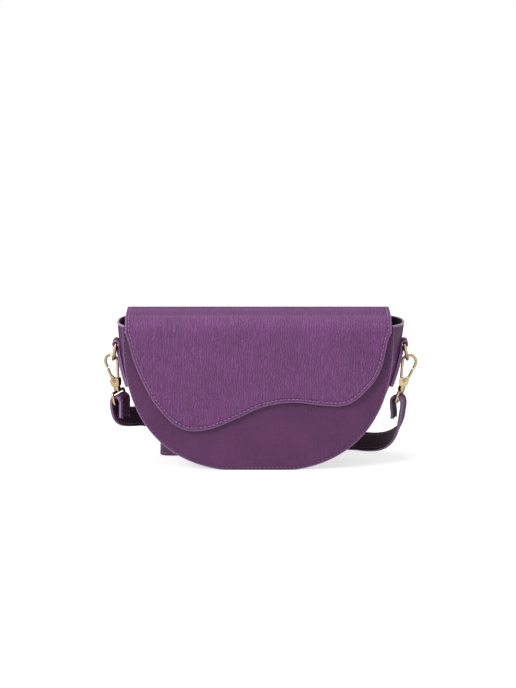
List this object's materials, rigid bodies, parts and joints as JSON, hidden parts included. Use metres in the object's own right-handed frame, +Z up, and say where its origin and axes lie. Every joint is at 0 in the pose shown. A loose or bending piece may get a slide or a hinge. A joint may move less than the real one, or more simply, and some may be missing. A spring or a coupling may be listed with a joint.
{
  "type": "saddle handbag",
  "caption": "Saddle handbag of grained leather with a wavy front flap, side rings on tabs, swivel snap hooks and a removable shoulder strap.",
  "frame": {"origin": "middle of the base, on the surface that the bag stands on, midway between the front and back panels", "axes": "+X to the right seen from the front, +Y from the front to the back, +Z up"},
  "size_m": [0.2759, 0.0963, 0.136],
  "materials": {
    "panel_leather": "satin, fine grain",
    "gusset_leather": "satin, fine grain",
    "flap_leather": "satin, crushed grain",
    "tab_leather": "satin, fine grain",
    "strap_leather": "satin, fine grain",
    "lining": "matt microfibre",
    "pocket_lining": "matt microfibre",
    "board": "matt fibre board",
    "pale_gold_metal": "polished, light gold plate",
    "spring_steel": "drawn wire",
    "washer_steel": "stamped plate"
  },
  "bodies": {
    "bag": {"front_panel": "panel_leather", "back_panel": "panel_leather", "gusset": "gusset_leather", "front_board": "board", "back_board": "board", "front_lining": "lining", "back_lining": "lining", "gusset_lining": "lining", "slip_pocket": "pocket_lining", "flap_tail": "flap_leather", "magnet_socket": "pale_gold_metal", "socket_washer": "washer_steel", "tab_left": "tab_leather", "tab_right": "tab_leather", "strap": "strap_leather"},
    "flap": {"flap_leather": "flap_leather", "flap_board": "board", "flap_lining": "lining", "magnet_stud": "pale_gold_metal", "stud_washer": "washer_steel"},
    "left_ring": {"ring_left": "pale_gold_metal"},
    "left_hook": {"hook_left": "pale_gold_metal", "gate_pin_left": "pale_gold_metal", "gate_spring_left": "spring_steel"},
    "left_gate": {"gate_left": "pale_gold_metal"},
    "left_eye": {"swivel_eye_left": "pale_gold_metal"},
    "right_ring": {"ring_right": "pale_gold_metal"},
    "right_hook": {"hook_right": "pale_gold_metal", "gate_pin_right": "pale_gold_metal", "gate_spring_right": "spring_steel"},
    "right_gate": {"gate_right": "pale_gold_metal"},
    "right_eye": {"swivel_eye_right": "pale_gold_metal"}
  },
  "joints": [
    {"name": "flap_open", "type": "hinge", "parent": "bag", "child": "flap", "pos_m": [0, 0.0314, 0.12715], "axis": [-1, 0, 0], "range_deg": [0, 120]},
    {"name": "left_ring_swing", "type": "hinge", "parent": "bag", "child": "left_ring", "pos_m": [-0.12476, 0, 0.108], "axis": [0, 1, 0], "range_deg": [0, 10]},
    {"name": "left_hook_swing", "type": "hinge", "parent": "left_ring", "child": "left_hook", "pos_m": [-0.1274, 0, 0.09303], "axis": [0, 1, 0], "range_deg": [-16, 0]},
    {"name": "left_gate", "type": "hinge", "parent": "left_hook", "child": "left_gate", "pos_m": [-0.12571, 0.00093, 0.07428], "axis": [0.3986, 0.9135, 0.0811], "range_deg": [0, 25], "stiffness_Nm_per_rad": 0.01, "springref_deg": -17.19},
    {"name": "left_swivel", "type": "hinge", "parent": "left_hook", "child": "left_eye", "pos_m": [-0.12571, 0.00093, 0.07428], "axis": [-0.1994, 0, 0.9799], "range_deg": [-8, 8]},
    {"name": "right_ring_swing", "type": "hinge", "parent": "bag", "child": "right_ring", "pos_m": [0.12825, 0, 0.108], "axis": [0, -1, 0], "range_deg": [0, 10]},
    {"name": "right_hook_swing", "type": "hinge", "parent": "right_ring", "child": "right_hook", "pos_m": [0.13115, 0, 0.09308], "axis": [0, -1, 0], "range_deg": [-16, 0]},
    {"name": "right_gate", "type": "hinge", "parent": "right_hook", "child": "right_gate", "pos_m": [0.12835, 0, 0.07444], "axis": [0, -1, 0], "range_deg": [0, 25], "stiffness_Nm_per_rad": 0.01, "springref_deg": -17.19},
    {"name": "right_swivel", "type": "hinge", "parent": "right_hook", "child": "right_eye", "pos_m": [0.12835, 0, 0.07444], "axis": [0.2672, 0, 0.9636], "range_deg": [-8, 8]}
  ],
  "couplings": [
    {"joint": "left_hook_swing", "follows": "left_ring_swing", "ratio": -1.389},
    {"joint": "right_hook_swing", "follows": "right_ring_swing", "ratio": -1.393}
  ]
}
